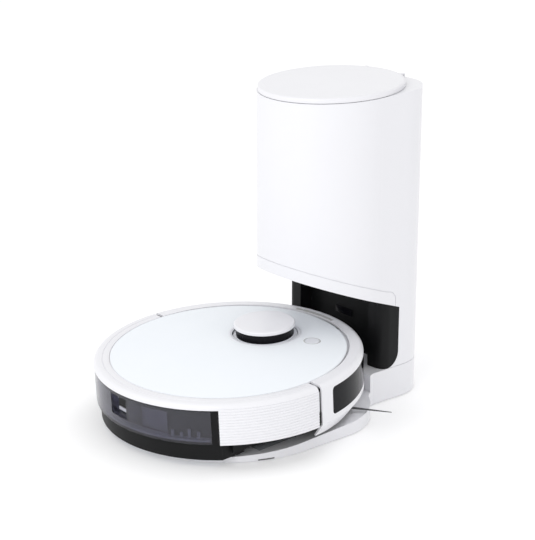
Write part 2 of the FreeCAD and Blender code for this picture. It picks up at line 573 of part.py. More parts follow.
robot(group("sensorGroup", *[rod(f"sensor{number}", "sensorRadius", "sensorTall", x, y, "panFloor - sensorTall")
                             for number, (x, y) in enumerate(sensor_spots)]), "cliff_sensors")
robot(group("robotContacts", *[box(f"robotContact{number}", "contactLong", "contactWide", "0.9",
                                   f"{side} * contactSide", "contactY - 14", "panFloor - 0.9")
                               for number, side in enumerate((-1, 1))]), "robot_contacts")
screw_spots = [(-70, 104), (70, 104), (-96, -55), (96, -55), (-40, -55), (40, -55)]
robot(group("chassisScrews", *[rod(f"chassisScrew{number}", "screwRadius", "screwHead", f"{x}", f"{y}",
                                   "panFloor - screwHead") for number, (x, y) in enumerate(screw_spots)]),
      "chassis_screws")

# ---------------------------------------------------------------- robot: water tank and mop

def wedge(name, radius, half, back, low, high):
    """The stretch of a disc that lies between two side planes and behind a back plane."""
    disc = rod(f"{name}Disc", radius, f"{high} - ({low})", 0, 0, low)
    return common(name, disc, span(f"{name}Limits", f"-({half})", half, "-200", back, low, high))


tank_inner = wedge("tankInner", "tankRadius - tankWall", "tankHalf - tankWall", "tankBack - tankWall",
                   "tankLow + tankWall", "tankHigh - tankWall")
latch_wall = span("latchWall", "-latchHalf - 2", "latchHalf + 2", "-tankRadius + 1", "-tankRadius + latchDeep + 6",
                  "latchLow - 2", "latchHigh + 2")
robot(cut("tankShell",
          fuse("tankBody", cut("tankHollow", wedge("tankOuter", "tankRadius", "tankHalf", "tankBack", "tankLow",
                                                   "tankHigh"), tank_inner),
               common("latchTub", latch_wall, rod("latchTrim", "tankRadius - 0.5", "100", 0, 0, "0"))),
          span("latchRecess", "-latchHalf", "latchHalf", "-200", "-tankRadius + latchDeep", "latchLow", "latchHigh"),
          rod("tankFill", "plugRadius - 1.5", "10", "64", "-118", "tankHigh - 5")), "water_tank")
robot(group("latchKey", span("latchBlock", "-3", "latchHalf - 1", "-tankRadius + latchDeep - 3.4 - latchThick",
                             "-tankRadius + latchDeep - 3.4", "latchHigh - latchTall - 1", "latchHigh - 1")),
      "tank_latch_button")
robot(group("tankPlug", rod("plugDisc", "plugRadius - 1.55", "3", "64", "-118", "tankHigh - 3")),
      "tank_filler_plug")
robot(cut("mopPlate", wedge("plateOuter", "plateRadius", "plateHalf", "plateBack", "plateLow", "plateHigh"),
          wedge("plateRoom", "plateRadius - plateWall", "plateHalf - plateWall", "plateBack - plateWall",
                "plateLow + plateWall", "plateHigh + 5")), "mop_plate")
robot(group("mopPad", wedge("padSheet", "padRadius", "padHalf", "padBack", "padLow", "padHigh")), "mop_pad")

# ---------------------------------------------------------------- station: foot

def tower_outline(inset):
    """The tower in plan: a half round front, straight sides and two rounded corners at the back."""
    half = f"(towerHalf - {inset})"
    corner = f"(towerCorner - {inset})"
    back = f"(towerBack - {inset})"
    return [
        (f"-{half}", "towerRound"),
        ("0", f"towerRound - {half}", half),
        (half, "towerRound", half),
        (half, "towerBack - towerCorner"),
        ("towerHalf - towerCorner", back, corner),
        ("-(towerHalf - towerCorner)", back),
        (f"-{half}", "towerBack - towerCorner", corner),
    ]


foot_front = raised("footFront", [
    ("-footRadius", "0"),
    ("0", "-footRadius", "footRadius"),
    ("footRadius", "0", "footRadius"),
    ("footRadius", "footStraight"),
    ("waistHalf", "waistY", "88"),
    ("towerHalf", "neckY", "-40"),
    ("towerHalf", "neckY + 40"),
    ("-towerHalf", "neckY + 40"),
    ("-towerHalf", "neckY"),
    ("-waistHalf", "waistY", "-40"),
    ("-footRadius", "footStraight", "88"),
], "footLow", "seamHeight")
foot_back = raised("footBack", tower_outline("0"), "footLow", "seamHeight")

def on_ramp(item):
    """A cutting tool drawn in the robot's frame, carried to where the robot stands on the station."""
    item.Placement = Placement(Vector(), Rotation(Vector(1, 0, 0), SIZES["dockPitch"]))
    bind(item, Placement__Base__y="robotSetback", Placement__Base__z="wheelPlane",
         Placement__Rotation__Angle="dockPitch")
    return item


robot_room = on_ramp(fuse("robotRoom",
                          span("rampRoom", "-220", "220", "-220", "rampEnd", "-tyreGap", "90"),
                          rod("noseRoom", "baySwing", "90", 0, 0, "-tyreGap")))
mat_seats = on_ramp(group("matSeats", *[box(f"matSeat{number}", "matHalf * 2", "matLong", "10",
                                            f"{side} * wheelSide", "matY", "-tyreGap - matThick")
                                        for number, side in enumerate((-1, 1))]))
port_seat = on_ramp(group("portSeat", box("portHole", "portHalf * 2", "portDeep", "30", 0, "brushAhead",
                                          "portFloor - wheelPlane")))

pad_spots = [(-120, 40), (120, 40), (-84, -110), (84, -110), (-62, 178), (62, 178)]
pad_seats = [rod(f"padSeat{number}", "padRound", "footPad * 2", x, y, "-footPad")
             for number, (x, y) in enumerate(pad_spots)]
station(cut("footShell", fuse("footBody", foot_front, foot_back), robot_room, mat_seats, port_seat,
            span("footPocket", "-pocketHalf", "pocketHalf", "pocketFront", "pocketBack", "-1", "pocketRoof"),
            box("footInletHole", "inletWide", "24", "inletHigh", 0, "towerBack - 4", "inletZ"),
            *pad_seats), "station_base")
station(group("footPads", *[rod(f"padDisc{number}", "padRound - 0.2", "footPad", x, y, "0")
                            for number, (x, y) in enumerate(pad_spots)]), "rubber_feet")
station(group("bottomPlate", span("bottomBlock", "-pocketHalf + 0.2", "pocketHalf - 0.2", "pocketFront + 0.2",
                                  "pocketBack - 0.2", "footLow", "footLow + coverPlate")), "bottom_cover")
robot(group("rampMats", *[box(f"mat{number}", "matHalf * 2 - 0.4", "matLong - 0.4", "matThick - 0.1",
                             f"{side} * wheelSide", "matY", "-tyreGap - matThick")
                         for number, side in enumerate((-1, 1))]), "ramp_mats")
robot(cut("portSeal", box("sealBlock", "portHalf * 2", "portDeep", "sealTall", 0, "brushAhead",
                          "-tyreGap - sealTall - 0.2"),
          box("sealMouth", "(portHalf - sealWide) * 2", "portDeep - sealWide * 2", "10", 0, "brushAhead", "-8")),
      "port_seal")

# ---------------------------------------------------------------- station: tower

outer = raised("towerOuter", tower_outline("0"), "seamHeight", "towerTop + 20")
inner = raised("towerInner", tower_outline("towerWall"), "seamHeight - 1", "towerTop + 20")


def above_slope(name, height):
    """Everything above the sloped top of the tower, from a height at its front edge."""
    item = doc.addObject("Part::Box", name)
    bind(item, Length="towerHalf * 2 + 20", Width="240", Height="60")
    item.Placement = Placement(Vector(), Rotation(Vector(1, 0, 0), SIZES["topSlope"]))
    return put(item, "-towerHalf - 10", "panFront", height)


top_trim = above_slope("topTrim", "towerTop - trimSetback * sin(topSlope)")
plate_trim = above_slope("plateTrim", "towerTop - topPlate - trimSetback * sin(topSlope)")
recess = across("recessTool", [
    ("panFront", "panFrontZ"),
    ("panFront", "20"),
    ("recessBack - recessRound", "20"),
    ("recessBack - recessRound", "seamHeight"),
    ("recessBack", "seamHeight + recessRound", "recessRound"),
    ("recessBack", "panBackZ"),
], "260")
recess_wall = across("recessWall", [
    ("panFront - 20", "panFrontZ + 7.2 + towerWall"),
    ("panFront - 20", "10"),
    ("recessBack - recessRound", "10"),
    ("recessBack - recessRound", "seamHeight - towerWall"),
    ("recessBack + towerWall", "seamHeight + recessRound", "recessRound + towerWall"),
    ("recessBack + towerWall", "panBackZ + towerWall - 0.6"),
], "280")
seam_line = across("seamLine", [
    ("panFront", "seamFrontZ"),
    ("seamEnd - seamRound", "seamFrontZ - (seamEnd - seamRound - panFront) * seamFall"),
    ("seamEnd", "seamFrontZ - (seamEnd - panFront) * seamFall - seamRound * 0.8", "-seamRound"),
    ("seamEnd", "panBackZ - 10"),
    ("seamEnd + seamWide", "panBackZ - 10"),
    ("seamEnd + seamWide", "seamFrontZ - (seamEnd - panFront) * seamFall - seamRound * 0.8"),
    ("seamEnd - seamRound", "seamFrontZ + seamWide - (seamEnd - seamRound - panFront) * seamFall",
     "seamRound + seamWide"),
    ("panFront", "seamFrontZ + seamWide"),
], "260")
seam_core = raised("seamCore", tower_outline("seamDeep"), "seamHeight", "towerTop")
tower_hollow = fuse("towerHollow", cut("towerRoom", inner, recess_wall, plate_trim),
                    rod("chamberMouthHole", "chamberMouth", "120", 0, "towerRound", "towerTop - 60"))
lid_ears = []
for number, side in enumerate((-1, 1)):
    ear_low = "lidNotch" if side > 0 else "-lidNotch - lidEarWide"
    lid_ears += [rod(f"lidEar{number}", "lidEarRadius", "lidEarWide", ear_low, "lidHingeY", "lidHingeZ", "X"),
                 span(f"lidEarFoot{number}", ear_low, f"{ear_low} + lidEarWide", "lidHingeY - lidEarRadius + 0.6",
                      "lidHingeY + lidEarRadius", "towerTop + 6", "lidHingeZ")]
tower_cut = cut("towerCut", cut("towerWalls", outer, tower_hollow, recess, top_trim),
                span("hingeNotch", "-lidNotch", "lidNotch", "towerBack - lidNotchLong", "300", "towerTop - 2",
                     "500"),
                cut("seamGroove", seam_line, seam_core),
                cut("footSeam", box("footSeamSlab", "300", "300", "seamWide", 0, "towerRound", "seamHeight"), seam_core),
                span("panelHole", "-panelHalf", "panelHalf", "towerBack - 6", "towerBack + 6", "panelLow",
                     "panelHigh"))
station(cut("towerShell", fuse("towerWithEars", tower_cut, *lid_ears),
            rod("lidEarBore", "lidPin", "160", "-80", "lidHingeY", "lidHingeZ", "X")), "tower_shell")
screw_spots = [(-38, 68), (38, 68), (-38, 184), (38, 184)]
panel_screws, screw_seats = ([rod(f"{name}{number}", radius, screw_tall, x, "towerBack - 0.1 - screwHead", z, "Y")
                              for number, (x, z) in enumerate(screw_spots)]
                             for name, radius, screw_tall in (("stationScrew", "screwRadius", "screwHead - 0.2"),
                                                              ("screwSeat", "screwRadius + seatGap", "10")))
station(cut("servicePanel", span("panelBlock", "-panelHalf + 0.2", "panelHalf - 0.2",
                                 "towerBack - panelThick - 0.1", "towerBack - 0.1", "panelLow + 0.2",
                                 "panelHigh - 0.2"), *screw_seats), "service_panel")
station(group("stationScrews", *panel_screws), "station_screws")

liner_block = raised("linerBlock", [
    ("-towerHalf + linerGap", "linerFront + linerRound"),
    ("-towerHalf + linerGap + linerRound", "linerFront", "linerRound"),
    ("-linerBayHalf", "linerFront"),
    ("-linerBayHalf", "linerBayBack"),
    ("linerBayHalf", "linerBayBack"),
    ("linerBayHalf", "linerFront"),
    ("towerHalf - linerGap - linerRound", "linerFront"),
    ("towerHalf - linerGap", "linerFront + linerRound", "linerRound"),
    ("towerHalf - linerGap", "recessBack + 10"),
    ("-towerHalf + linerGap", "recessBack + 10"),
], "seamHeight", "panFrontZ")
recess_fill = across("recessFill", [
    ("panFront", "panFrontZ - 0.3"),
    ("panFront", "seamHeight"),
    ("recessBack - recessRound", "seamHeight"),
    ("recessBack - 0.2", "seamHeight + recessRound", "recessRound - 0.2"),
    ("recessBack - 0.2", "panBackZ - 0.3"),
], "260")
nose_room = on_ramp(rod("linerRoom", "baySwing", "120", 0, 0, "0"))
station(cut("bayLiner", common("linerShape", liner_block, recess_fill), nose_room), "bay_liner")

# ---------------------------------------------------------------- station: dust bag chamber and air path

station(fuse("chamberCup",
             cut("chamberShell",
                 rod("chamberOuter", "chamberRadius", "chamberTop - chamberLow", 0, "towerRound", "chamberLow"),
                 rod("chamberRoom", "chamberRadius - chamberWall", "300", 0, "towerRound",
                     "chamberLow + chamberWall")),
             ring("chamberFlange", "chamberLip", "chamberRadius - chamberWall", "flangeThick", 0, "towerRound",
                  "chamberTop - flangeThick")), "bag_chamber")
station(rounded("bagBody",
                rod("bagBlank", "bagRadius", "bagHigh - bagLow", 0, "towerRound - bagSetback", "bagLow"),
                "bagRound",
                lambda edge, at: edge.Length > 100 and edge.isClosed()), "dust_bag")
station(cut("bagCard", span("cardPlate", "-cardWide / 2", "cardWide / 2", "cardY", "cardY + cardThick",
                            "bagHigh - cardDrop", "bagHigh - cardDrop + cardTall"),
            rod("cardPort", "cardHole", "20", 0, "cardY - 9", "bagHigh - portDrop", "Y")), "bag_card")
station(group("motorCan", rounded("motorRound", rod("motorBlank", "motorRadius", "motorTall", "motorX", "motorY",
                                                    "motorLow"), "4",
                                  lambda edge, at: edge.Length > 100)), "suction_motor")
station(cut("airDuct", box("ductBlank", "ductHalf * 2", "ductHalf * 2", "ductTop - seamHeight", "ductX", "ductY",
                           "seamHeight"),
            box("ductRoom", "ductHalf * 2 - ductWall * 2", "ductHalf * 2 - ductWall * 2", "400", "ductX", "ductY",
                "0")), "air_duct")
station(fuse("supplyUnit", box("supplyBoard", "supplyLong", "supplyDeep", "1.6", 20, 226, "7"),
             box("supplyCoil", "26", "24", "20", 4, 224, "8"),
             rod("supplyCan", "8", "22", 40, 226, "8")), "power_supply")
station(fuse("inletUnit",
             cut("inletBody", box("inletBlock", "inletWide - 0.4", "inletDepth", "inletHigh - 0.4", 0,
                                  "towerBack - inletDepth / 2 - 1", "inletZ + 0.2"),
                 box("inletMouth", "inletWide - 6", "12", "inletHigh - 6", 0, "towerBack - 6", "inletZ + 3")),
             *[rod(f"inletPin{number}", "1.2", "10", f"{side} * 4", "towerBack - 13",
                   "inletZ + inletHigh / 2", "Y")
               for number, side in enumerate((-1, 1))]), "power_inlet")
# ---------------------------------------------------------------- station: lid

def on_slope(item):
    """A piece of the lid, drawn on its own level plane and tipped to the slope of the tower's top."""
    item.Placement = Placement(Vector(), Rotation(Vector(1, 0, 0), SIZES["topSlope"]))
    bind(item, Placement__Base__y="panFront + trimSetback", Placement__Base__z="towerTop + lidRise",
         Placement__Rotation__Angle="topSlope")
    return item


lid_disc = on_slope(rounded("lidRounded",
                            rod("lidBlank", "lidRadius", "lidThick", 0, "towerRound - panFront - trimSetback", "0"),
                            "lidRound",
                            lambda edge, at: abs(at.z - SIZES["lidThick"]) < 0.01 and edge.Length > 100))
lid_lug = span("lidLug", "-lidLugHalf", "lidLugHalf", "lidHingeY - 6", "lidHingeY + 3", "lidHingeZ - 5",
               "lidHingeZ + 1")
station(cut("lidShell", fuse("lidBody", lid_disc, lid_lug),
            rod("lidPinBore", "lidPin + runGap", "160", "-80", "lidHingeY", "lidHingeZ", "X")), "station_lid")
station(group("lidPinGroup", rod("lidPinRod", "lidPin", "lidPinReach * 2", "-lidPinReach", "lidHingeY",
                                 "lidHingeZ", "X")), "lid_hinge_pin")

# ---------------------------------------------------------------- checks and output

doc.recompute()
faults = [item.Name for item in doc.Objects if "Invalid" in item.State or "Error" in item.State]
faults += [item.Label for item in nodes if item.Shape.isNull() or not item.Shape.isValid()]
for item in nodes:
    if len(item.Shape.Solids) == 0 or item.Shape.Volume <= 0:
        faults.append(f"{item.Label} has no solid")
if faults:
    raise SystemExit(f"failed objects: {faults}")
os.makedirs("parts", exist_ok=True)
for item in nodes:
    item.Shape.exportStep(f"parts/{item.Label}.step")
print(len(nodes), "sub-parts written")
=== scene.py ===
import json
import math

import bpy
import numpy as np
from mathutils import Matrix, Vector


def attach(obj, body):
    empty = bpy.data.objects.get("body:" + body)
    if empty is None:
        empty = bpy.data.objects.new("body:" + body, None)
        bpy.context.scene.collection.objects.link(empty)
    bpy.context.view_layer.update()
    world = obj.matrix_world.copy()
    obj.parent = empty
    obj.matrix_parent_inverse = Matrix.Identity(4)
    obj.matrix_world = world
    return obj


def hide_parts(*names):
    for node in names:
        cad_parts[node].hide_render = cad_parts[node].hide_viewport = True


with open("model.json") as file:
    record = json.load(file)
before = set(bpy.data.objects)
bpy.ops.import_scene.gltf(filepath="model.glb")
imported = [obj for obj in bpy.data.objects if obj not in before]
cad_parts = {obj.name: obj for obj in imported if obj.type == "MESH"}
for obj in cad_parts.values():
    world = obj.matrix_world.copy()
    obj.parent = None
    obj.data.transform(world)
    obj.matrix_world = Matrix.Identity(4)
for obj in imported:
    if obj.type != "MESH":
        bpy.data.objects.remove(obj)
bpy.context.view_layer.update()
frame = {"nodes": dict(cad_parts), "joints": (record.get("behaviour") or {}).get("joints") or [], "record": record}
nodes = frame["nodes"]
joints = {joint["name"]: joint for joint in frame["joints"]}
print("frame loaded,", len(nodes), "nodes")

# The robot stands pitched on the ramp. Its own axes come from the turret's axle and the two drive wheels.
wheelRadius = 31.0
hingeBack = 0.269  # the lid's hinge line stands this far behind the robot's middle, in metres
up = np.array(joints["lidar_spin"]["axis"], float)
right = np.array([1.0, 0.0, 0.0])
ahead = np.cross(up, right)
wheelSpots = [np.array(joints[side + "_wheel_spin"]["pos_m"]) for side in ("left", "right")]
wheelMiddle = (wheelSpots[0] + wheelSpots[1]) / 2
robotOrigin = wheelMiddle - up * wheelRadius / 1000
stationOrigin = np.array([0.0, joints["station_lid_hinge"]["pos_m"][1] - hingeBack, 0.0])


def inRobot(points):  # millimetres on the robot's own axes to metres in the row
    return robotOrigin + (points[..., 0:1] * right + points[..., 1:2] * ahead + points[..., 2:3] * up) / 1000


def inStation(points):  # millimetres from the ground under the parked robot to metres in the row
    return stationOrigin + points / 1000


# surfaces

def gridQuads(rows, across, start, wrapRows):
    # each cell of the grid is one quad, and the last column joins the first
    i = np.arange(rows if wrapRows else rows - 1)[:, None]
    j = np.arange(across)[None, :]
    nextRow, nextCol = (i + 1) % rows, (j + 1) % across
    corners = np.broadcast_arrays(i * across + j, i * across + nextCol,
                                  nextRow * across + nextCol, nextRow * across + j)
    return (np.stack(corners, -1) + start).reshape(-1, 4)


def makePiece(name, shells, place, body, finish, replaced=(), sharp=32, bevel=None):
    # Closed grids of points become one mesh: rows are joined by quads, and open ends are capped.
    points, faces, start = [], [], 0
    for grid, wrapRows in shells:
        rows, across = grid.shape[:2]
        flat = grid.reshape(-1, 3)
        quads = gridQuads(rows, across, 0, wrapRows)
        # the signed volume is a sixth of the sum of each triangle's triple product
        tris = np.concatenate([quads[:, [0, 1, 2]], quads[:, [0, 2, 3]]])
        middle = flat.mean(0)
        a, b, c = (flat[tris[:, k]] - middle for k in range(3))
        volume = np.einsum("ij,ij->i", a, np.cross(b, c)).sum()
        quads = quads if volume > 0 else quads[:, ::-1]
        faces += (quads + start).tolist()
        if not wrapRows:
            ends = [np.arange(across)[::-1], np.arange(across) + (rows - 1) * across]
            faces += [((end if volume > 0 else end[::-1]) + start).tolist() for end in ends]
        points.append(place(flat))
        start += len(flat)
    mesh = bpy.data.meshes.new(name)
    mesh.from_pydata(np.concatenate(points).tolist(), [], faces)
    mesh.update()
    mesh.shade_smooth()
    mesh.set_sharp_from_angle(angle=math.radians(sharp))
    piece = bpy.data.objects.new(name, mesh)
    bpy.context.scene.collection.objects.link(piece)
    if bevel:
        softened = piece.modifiers.new("softEdges", "BEVEL")
        softened.width = bevel / 1000
        softened.segments = 2
        softened.limit_method = "ANGLE"
        softened.angle_limit = math.radians(40)
    mesh.materials.append(finish)
    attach(piece, body)
    if replaced:
        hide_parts(*replaced)
    return piece


def turnedRun(profile, angles, centre=(0.0, 0.0)):
    # A profile of (radius, height) goes round an axis: x is radius times sine, y minus radius times cosine.
    radius, height = profile[None, :, 0], profile[None, :, 1]
    turn = np.radians(angles)[:, None]
    return np.stack([centre[0] + radius * np.sin(turn), centre[1] - radius * np.cos(turn),
                     height + 0 * turn], -1)


def arc(centre, radius, start, stop, steps):
    # points of a circle between two angles, which run from the outward direction upwards
    turn = np.radians(np.linspace(start, stop, steps))
    return np.stack([centre[0] + radius * np.cos(turn), centre[1] + radius * np.sin(turn)], -1)


def roundedBox(wide, deep, corner, steps=5):
    # An outline: four quarter circles at the corners of a rectangle, given again for any inset.
    def outline(inset):
        reach = max(corner - inset, 0.05)
        half = np.array([wide / 2 - inset - reach, deep / 2 - inset - reach])
        quarters = [arc(half * sign, reach, turn, turn + 90, steps)
                    for sign, turn in (((1, 1), 0), ((-1, 1), 90), ((-1, -1), 180), ((1, -1), 270))]
        return np.concatenate(quarters)
    return outline


def discPart(radius, half, back, steps=60):
    # An outline: an arc of a disc behind a straight back line, closed by two straight sides.
    def outline(inset):
        reach = radius - inset
        side = half - inset
        edge = math.degrees(math.asin(side / reach))
        turn = np.radians(np.linspace(-edge, edge, steps))
        curve = np.stack([reach * np.sin(turn), -reach * np.cos(turn)], -1)
        side1 = np.stack([np.full(8, side), np.linspace(curve[-1, 1], back - inset, 10)[1:-1]], -1)
        backLine = np.stack([np.linspace(side, -side, 40), np.full(40, back - inset)], -1)
        side2 = np.stack([np.full(8, -side), np.linspace(back - inset, curve[0, 1], 10)[1:-1]], -1)
        return np.concatenate([curve, side1, backLine, side2])
    return outline


def slab(outline, low, high, edge, centre=(0.0, 0.0), steps=3):
    # An outline raised between two heights, drawn in along a quarter circle at both rims.
    turn = np.linspace(0, math.pi / 2, steps + 1)
    inset = edge * (1 - np.sin(turn))
    rise = edge * (1 - np.cos(turn))
    levels = list(zip(inset, low + rise)) + list(zip(inset[::-1], high - rise[::-1]))
    rows = [np.column_stack([outline(step) + np.array(centre), np.full(len(outline(step)), level)])
            for step, level in levels]
    return np.stack(rows)


def tube(path, radii, sides=6):
    # A ring of points round every point of a path, square to the path's direction there.
    along = np.gradient(path, axis=0)
    along /= np.linalg.norm(along, axis=1, keepdims=True)
    first = np.cross(along, [0.0, 0.0, 1.0])
    first /= np.maximum(np.linalg.norm(first, axis=1, keepdims=True), 1e-9)
    second = np.cross(along, first)
    turn = np.linspace(0, 2 * math.pi, sides, endpoint=False)
    ringX, ringY = np.cos(turn)[None, :, None], np.sin(turn)[None, :, None]
    ring = ringX * first[:, None] + ringY * second[:, None]
    return path[:, None] + np.asarray(radii)[:, None, None] * ring


# shared surface effects

def nodeGroup(name, inputs, outputs):
    group = bpy.data.node_groups.new(name, "ShaderNodeTree")
    for label, kind, value in inputs:
        socket = group.interface.new_socket(label, in_out="INPUT", socket_type="NodeSocket" + kind)
        if value is not None:
            socket.default_value = value
    for label, kind in outputs:
        group.interface.new_socket(label, in_out="OUTPUT", socket_type="NodeSocket" + kind)
    return group, group.nodes.new("NodeGroupInput").outputs, group.nodes.new("NodeGroupOutput").inputs


def addNode(tree, kind, values=None, **settings):
    node = tree.nodes.new("ShaderNode" + kind)
    for key, value in settings.items():
        setattr(node, key, value)
    for key, value in (values or {}).items():
        node.inputs[key].default_value = value
    return node


def join(tree, *pairs):
    for source, target in pairs:
        tree.links.new(source, target)


def buildMouldedGroup():
    # Moulded plastic: cloudy colour between two shades, a fine pebble that lifts the surface, uneven gloss.
    group, given, made = nodeGroup("mouldedSurface", [
        ("Place", "Vector", None),
        ("Colour", "Color", (0.8, 0.8, 0.8, 1)), ("Shade", "Color", (0.7, 0.7, 0.7, 1)),
        ("Cloud Size", "Float", 14.0), ("Grain Size", "Float", 2600.0), ("Grain Depth", "Float", 0.12),
        ("Gloss Low", "Float", 0.3), ("Gloss High", "Float", 0.4)],
        [("Colour", "Color"), ("Roughness", "Float"), ("Normal", "Vector")])
    clouds = addNode(group, "TexNoise", {"Detail": 3.0, "Roughness": 0.55})
    grain = addNode(group, "TexNoise", {"Detail": 1.5, "Roughness": 0.5})
    blend = addNode(group, "Mix", data_type="RGBA")
    rough = addNode(group, "MapRange", {"From Min": 0.3, "From Max": 0.7})
    bump = addNode(group, "Bump", {"Distance": 0.0003})
    join(group, (given["Place"], clouds.inputs["Vector"]), (given["Cloud Size"], clouds.inputs["Scale"]),
         (given["Place"], grain.inputs["Vector"]), (given["Grain Size"], grain.inputs["Scale"]),
         (clouds.outputs["Fac"], blend.inputs["Factor"]), (given["Colour"], blend.inputs["A"]),
         (given["Shade"], blend.inputs["B"]), (clouds.outputs["Fac"], rough.inputs["Value"]),
         (given["Gloss Low"], rough.inputs["To Min"]), (given["Gloss High"], rough.inputs["To Max"]),
         (grain.outputs["Fac"], bump.inputs["Height"]), (given["Grain Depth"], bump.inputs["Strength"]),
         (blend.outputs["Result"], made["Colour"]), (rough.outputs["Result"], made["Roughness"]),
         (bump.outputs["Normal"], made["Normal"]))
    return group


def buildWovenGroup():
    # Cloth: two sets of ridges that cross, so that threads pass over and under, with fuzz between them.
    group, given, made = nodeGroup("wovenSurface", [
        ("Place", "Vector", None),
        ("Colour", "Color", (0.8, 0.8, 0.8, 1)), ("Shade", "Color", (0.5, 0.5, 0.5, 1)),
        ("Thread Size", "Float", 700.0), ("Depth", "Float", 0.5)],
        [("Colour", "Color"), ("Roughness", "Float"), ("Normal", "Vector")])
    warp = addNode(group, "TexWave", {"Distortion": 0.6, "Detail": 1.0}, bands_direction="X")
    weft = addNode(group, "TexWave", {"Distortion": 0.6, "Detail": 1.0}, bands_direction="Y")
    fuzz = addNode(group, "TexNoise", {"Scale": 420.0, "Detail": 4.0})
    cross = addNode(group, "Math", operation="MULTIPLY")
    height = addNode(group, "Math", operation="ADD")
    blend = addNode(group, "Mix", data_type="RGBA")
    rough = addNode(group, "MapRange", {"To Min": 0.78, "To Max": 0.98})
    bump = addNode(group, "Bump", {"Distance": 0.0005})
    join(group, *[(given["Place"], node.inputs["Vector"]) for node in (warp, weft, fuzz)],
         *[(given["Thread Size"], node.inputs["Scale"]) for node in (warp, weft)],
         (warp.outputs["Fac"], cross.inputs[0]), (weft.outputs["Fac"], cross.inputs[1]),
         (cross.outputs[0], height.inputs[0]), (fuzz.outputs["Fac"], height.inputs[1]),
         (height.outputs[0], bump.inputs["Height"]), (given["Depth"], bump.inputs["Strength"]),
         (fuzz.outputs["Fac"], blend.inputs["Factor"]), (given["Colour"], blend.inputs["A"]),
         (given["Shade"], blend.inputs["B"]), (fuzz.outputs["Fac"], rough.inputs["Value"]),
         (blend.outputs["Result"], made["Colour"]), (rough.outputs["Result"], made["Roughness"]),
         (bump.outputs["Normal"], made["Normal"]))
    return group


def buildDrawnGroup():
    # Drawn or turned metal: noise stretched along one direction into fine lines of gloss and height.
    group, given, made = nodeGroup("drawnSurface", [
        ("Place", "Vector", None),
        ("Colour", "Color", (0.6, 0.6, 0.6, 1)), ("Shade", "Color", (0.4, 0.4, 0.4, 1)),
        ("Line Size", "Float", 900.0), ("Depth", "Float", 0.15)],
        [("Colour", "Color"), ("Roughness", "Float"), ("Normal", "Vector")])
    stretch = addNode(group, "Mapping", {"Scale": (0.03, 1.0, 1.0)})
    lines = addNode(group, "TexNoise", {"Detail": 2.0})
    stains = addNode(group, "TexNoise", {"Scale": 60.0, "Detail": 4.0})
    blend = addNode(group, "Mix", data_type="RGBA")
    rough = addNode(group, "MapRange", {"To Min": 0.22, "To Max": 0.5})
    bump = addNode(group, "Bump", {"Distance": 0.0002})
    join(group, (given["Place"], stretch.inputs["Vector"]), (stretch.outputs[0], lines.inputs["Vector"]),
         (given["Line Size"], lines.inputs["Scale"]), (given["Place"], stains.inputs["Vector"]),
         (stains.outputs["Fac"], blend.inputs["Factor"]), (given["Colour"], blend.inputs["A"]),
         (given["Shade"], blend.inputs["B"]), (lines.outputs["Fac"], rough.inputs["Value"]),
         (lines.outputs["Fac"], bump.inputs["Height"]), (given["Depth"], bump.inputs["Strength"]),
         (blend.outputs["Result"], made["Colour"]), (rough.outputs["Result"], made["Roughness"]),
         (bump.outputs["Normal"], made["Normal"]))
    return group


groups = {"moulded": buildMouldedGroup(), "woven": buildWovenGroup(), "drawn": buildDrawnGroup()}

# finishes: one per material slot, and a few more for the detail pieces

